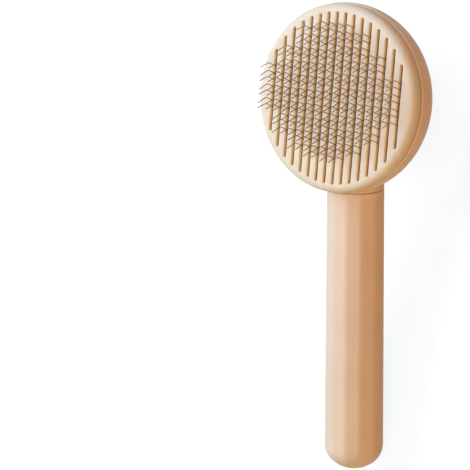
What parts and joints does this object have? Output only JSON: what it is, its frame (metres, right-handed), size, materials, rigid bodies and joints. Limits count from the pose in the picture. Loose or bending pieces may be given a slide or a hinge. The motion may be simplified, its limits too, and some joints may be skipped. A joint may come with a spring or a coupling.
{
  "type": "slicker brush",
  "caption": "Round-headed self-cleaning slicker brush: bent wire pins, a slotted plate that a rear push button ejects, and a straight twelve-sided handle.",
  "frame": {"origin": "middle of the push button's flat rear face, on the head's axis", "axes": "+Z along the head's axis from the button to the pins, +Y from the handle to the far edge of the head, X across the slots; the brush lies on its back"},
  "size_m": [0.0778, 0.1971, 0.0585],
  "materials": {
    "body_plastic": "satin moulded plastic, warm cream to apricot",
    "inner_plastic": "matt moulded plastic, hidden inside",
    "pin_bed": "matt rubber-backed pad, tan in the slots",
    "steel": "drawn steel wire and plated screws"
  },
  "bodies": {
    "brush_body": {"rear_shell": "body_plastic", "pin_carrier": "inner_plastic", "pin_bed": "pin_bed", "carrier_screw_1": "steel", "carrier_screw_2": "steel", "carrier_screw_3": "steel", "carrier_screw_4": "steel", "return_spring": "steel", "handle_grip": "body_plastic", "grip_screw_1": "steel", "grip_screw_2": "steel", "screw_cap_1": "body_plastic", "screw_cap_2": "body_plastic"},
    "ejector": {"face_plate": "body_plastic", "ejector_carriage": "inner_plastic", "push_button": "body_plastic", "carriage_screw_1": "steel", "carriage_screw_2": "steel", "carriage_screw_3": "steel", "carriage_screw_4": "steel"}
  },
  "joints": [
    {"name": "ejector_slide", "type": "slide", "parent": "brush_body", "child": "ejector", "axis": [0, 0, 1], "range_m": [0, 0.0105], "stiffness_N_per_m": 600, "springref_m": -0.01, "deforming": ["return_spring"]}
  ]
}
